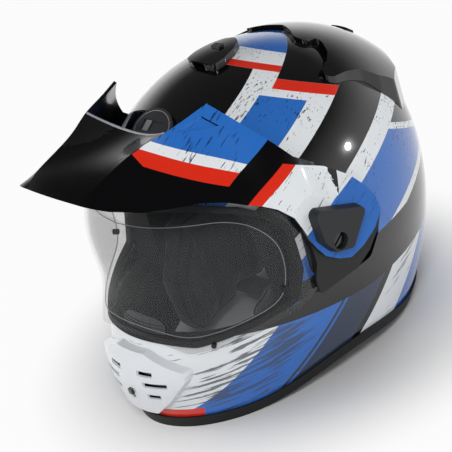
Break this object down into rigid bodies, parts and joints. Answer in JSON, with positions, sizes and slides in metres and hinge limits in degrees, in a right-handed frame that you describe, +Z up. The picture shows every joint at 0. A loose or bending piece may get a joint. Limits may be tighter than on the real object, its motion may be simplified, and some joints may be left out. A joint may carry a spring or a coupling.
{
  "type": "dual sport helmet",
  "caption": "Full face helmet for road and trail, with a tilting sun peak, a lifting clear face shield, sliding vents, foam liner, padding and a ring strap.",
  "frame": {"origin": "centre of the plan view, on the plane that the rim rests on", "axes": "+Z up, the front faces -Y, +X is the wearer's left"},
  "size_m": [0.2758, 0.3554, 0.2735],
  "materials": {
    "shell_gloss": "gloss",
    "black_gloss": "gloss",
    "black_matte": "matte",
    "dark_grey": "satin",
    "pearl_white": "gloss",
    "clear_shield": "gloss",
    "clear_lens": "gloss",
    "rubber_black": "matte",
    "foam": "matte",
    "liner_fabric": "matte",
    "webbing": "matte",
    "steel": "satin",
    "dark_metal": "satin"
  },
  "bodies": {
    "helmet": {"outer_shell": "shell_gloss", "rim_trim": "rubber_black", "eye_port_gasket": "rubber_black", "base_plate_left": "black_matte", "base_plate_right": "black_matte", "base_screws_left": "steel", "base_screws_right": "steel", "side_cover_left": "black_matte", "side_cover_right": "black_matte", "coin_screw_left": "dark_metal", "coin_screw_right": "dark_metal", "brow_vent": "dark_grey", "top_duct": "black_gloss", "rear_diffuser": "black_gloss", "chin_vent": "pearl_white", "impact_foam": "foam", "chin_foam": "foam", "crown_pad": "liner_fabric", "cheek_pad_left": "liner_fabric", "cheek_pad_right": "liner_fabric", "neck_roll": "liner_fabric", "breath_guard": "liner_fabric", "strap_long": "webbing", "strap_short": "webbing", "d_rings": "steel", "strap_snap": "black_matte", "strap_anchors": "steel"},
    "shield": {"face_shield": "clear_shield", "antifog_lens": "clear_lens", "lens_pins": "black_matte", "shield_catch_pin": "black_matte"},
    "peak": {"peak": "black_gloss", "peak_cap_left": "black_matte", "peak_cap_right": "black_matte"},
    "brow_slider": {"brow_slider": "black_matte"},
    "top_slider": {"top_slider": "black_matte"},
    "rear_slider": {"rear_slider": "black_matte"},
    "chin_shutter": {"chin_shutter": "black_gloss"}
  },
  "joints": [
    {"name": "shield_hinge", "type": "hinge", "parent": "helmet", "child": "shield", "pos_m": [0, -0.0143, 0.133], "axis": [-1, 0, 0], "range_deg": [0, 32]},
    {"name": "peak_tilt", "type": "hinge", "parent": "helmet", "child": "peak", "pos_m": [0, -0.0143, 0.133], "axis": [-1, 0, 0], "range_deg": [-3, 3]},
    {"name": "brow_slide", "type": "slide", "parent": "helmet", "child": "brow_slider", "axis": [1, 0, 0], "range_m": [0, 0.012]},
    {"name": "top_slide", "type": "slide", "parent": "helmet", "child": "top_slider", "axis": [0, 1, 0], "range_m": [0, 0.006]},
    {"name": "rear_slide", "type": "slide", "parent": "helmet", "child": "rear_slider", "axis": [0, -0.7165, 0.6976], "range_m": [0, 0.006]},
    {"name": "chin_slide", "type": "slide", "parent": "helmet", "child": "chin_shutter", "axis": [0, 0, -1], "range_m": [0, 0.005]}
  ]
}
